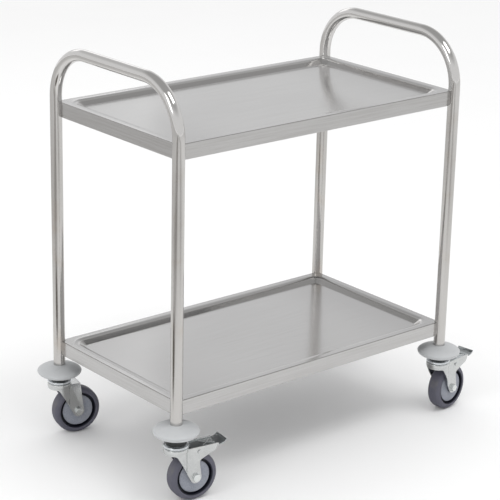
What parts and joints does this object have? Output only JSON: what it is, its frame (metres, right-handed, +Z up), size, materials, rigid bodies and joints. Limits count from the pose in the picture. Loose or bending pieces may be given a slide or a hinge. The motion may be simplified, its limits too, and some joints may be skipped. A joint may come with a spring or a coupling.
{
  "type": "instrument cart",
  "caption": "Wheeled steel instrument cart: shallow-welled trays held between bent-tube end hoops that form legs and handles, on swivel casters with foot brakes and round bumpers.",
  "frame": {"origin": "on the floor, under the middle of the cart's outline as it stands with its casters trailing to +X; the middle of the four legs is 30 mm to the -X side of it", "axes": "+X along the long side to the right-hand hoop, +Y from the front to the back, +Z up"},
  "size_m": [0.8961, 0.507, 0.8695],
  "materials": {
    "tube_steel": "polished stainless tube with fine lengthwise grain",
    "tray_steel": "brushed stainless sheet, satin",
    "bumper_plastic": "light grey satin plastic",
    "zinc_steel": "bright zinc-plated pressed steel",
    "bright_zinc": "bright zinc-plated, glossy",
    "pedal_steel": "zinc-plated pressed steel, glossy",
    "fastener_steel": "plated steel",
    "black_plastic": "black plastic",
    "tyre_rubber": "dark grey rubber, satin",
    "core_plastic": "dark moulded plastic",
    "cover_plastic": "blue-grey moulded plastic",
    "bush_plastic": "natural plastic"
  },
  "bodies": {
    "cart_frame": {"left_hoop": "tube_steel", "right_hoop": "tube_steel", "upper_tray": "tray_steel", "upper_stiffener": "tray_steel", "upper_corner_saddles": "zinc_steel", "upper_tray_bolts": "fastener_steel", "upper_rivet_nuts": "fastener_steel", "lower_tray": "tray_steel", "lower_stiffener": "tray_steel", "lower_corner_saddles": "zinc_steel", "lower_tray_bolts": "fastener_steel", "lower_rivet_nuts": "fastener_steel", "front_left_bumper": "bumper_plastic", "front_right_bumper": "bumper_plastic", "rear_left_bumper": "bumper_plastic", "rear_right_bumper": "bumper_plastic", "leg_plugs": "zinc_steel", "caster_stems": "fastener_steel", "kingpin_nuts": "fastener_steel", "swivel_seals": "black_plastic", "swivel_caps": "bright_zinc"},
    "front_left_swivel": {"front_left_fork": "zinc_steel", "front_left_swivel_balls": "fastener_steel", "front_left_axle_bolt": "fastener_steel", "front_left_axle_sleeve": "fastener_steel", "front_left_brake_pin": "fastener_steel", "front_left_brake_spring": "fastener_steel"},
    "front_left_wheel": {"front_left_tyre": "tyre_rubber", "front_left_wheel_core": "core_plastic", "front_left_hub_covers": "cover_plastic", "front_left_wheel_bushes": "bush_plastic"},
    "front_left_pedal": {"front_left_brake_pedal": "pedal_steel"},
    "front_right_swivel": {"front_right_fork": "zinc_steel", "front_right_swivel_balls": "fastener_steel", "front_right_axle_bolt": "fastener_steel", "front_right_axle_sleeve": "fastener_steel", "front_right_brake_pin": "fastener_steel", "front_right_brake_spring": "fastener_steel"},
    "front_right_wheel": {"front_right_tyre": "tyre_rubber", "front_right_wheel_core": "core_plastic", "front_right_hub_covers": "cover_plastic", "front_right_wheel_bushes": "bush_plastic"},
    "front_right_pedal": {"front_right_brake_pedal": "pedal_steel"},
    "rear_left_swivel": {"rear_left_fork": "zinc_steel", "rear_left_swivel_balls": "fastener_steel", "rear_left_axle_bolt": "fastener_steel", "rear_left_axle_sleeve": "fastener_steel"},
    "rear_left_wheel": {"rear_left_tyre": "tyre_rubber", "rear_left_wheel_core": "core_plastic", "rear_left_hub_covers": "cover_plastic", "rear_left_wheel_bushes": "bush_plastic"},
    "rear_right_swivel": {"rear_right_fork": "zinc_steel", "rear_right_swivel_balls": "fastener_steel", "rear_right_axle_bolt": "fastener_steel", "rear_right_axle_sleeve": "fastener_steel"},
    "rear_right_wheel": {"rear_right_tyre": "tyre_rubber", "rear_right_wheel_core": "core_plastic", "rear_right_hub_covers": "cover_plastic", "rear_right_wheel_bushes": "bush_plastic"}
  },
  "joints": [
    {"name": "front_left_swivel_turn", "type": "hinge", "parent": "cart_frame", "child": "front_left_swivel", "pos_m": [-0.4, -0.206, 0.1208], "axis": [0, 0, 1], "continuous": true},
    {"name": "front_left_wheel_spin", "type": "hinge", "parent": "front_left_swivel", "child": "front_left_wheel", "pos_m": [-0.36444, -0.21163, 0.052], "axis": [0.1564, 0.9877, 0], "continuous": true},
    {"name": "front_left_brake_press", "type": "hinge", "parent": "front_left_swivel", "child": "front_left_pedal", "pos_m": [-0.35654, -0.21288, 0.107], "axis": [0.1564, 0.9877, 0], "range_deg": [0, 8.5]},
    {"name": "front_right_swivel_turn", "type": "hinge", "parent": "cart_frame", "child": "front_right_swivel", "pos_m": [0.34, -0.206, 0.1208], "axis": [0, 0, 1], "continuous": true},
    {"name": "front_right_wheel_spin", "type": "hinge", "parent": "front_right_swivel", "child": "front_right_wheel", "pos_m": [0.37565, -0.20099, 0.052], "axis": [-0.1392, 0.9903, 0], "continuous": true},
    {"name": "front_right_brake_press", "type": "hinge", "parent": "front_right_swivel", "child": "front_right_pedal", "pos_m": [0.38357, -0.19988, 0.107], "axis": [-0.1392, 0.9903, 0], "range_deg": [0, 8.5]},
    {"name": "rear_left_swivel_turn", "type": "hinge", "parent": "cart_frame", "child": "rear_left_swivel", "pos_m": [-0.4, 0.206, 0.1208], "axis": [0, 0, 1], "continuous": true},
    {"name": "rear_left_wheel_spin", "type": "hinge", "parent": "rear_left_swivel", "child": "rear_left_wheel", "pos_m": [-0.36492, 0.1979, 0.052], "axis": [0.225, 0.9744, 0], "continuous": true},
    {"name": "rear_right_swivel_turn", "type": "hinge", "parent": "cart_frame", "child": "rear_right_swivel", "pos_m": [0.34, 0.206, 0.1208], "axis": [0, 0, 1], "continuous": true},
    {"name": "rear_right_wheel_spin", "type": "hinge", "parent": "rear_right_swivel", "child": "rear_right_wheel", "pos_m": [0.37545, 0.19975, 0.052], "axis": [0.1736, 0.9848, 0], "continuous": true}
  ]
}
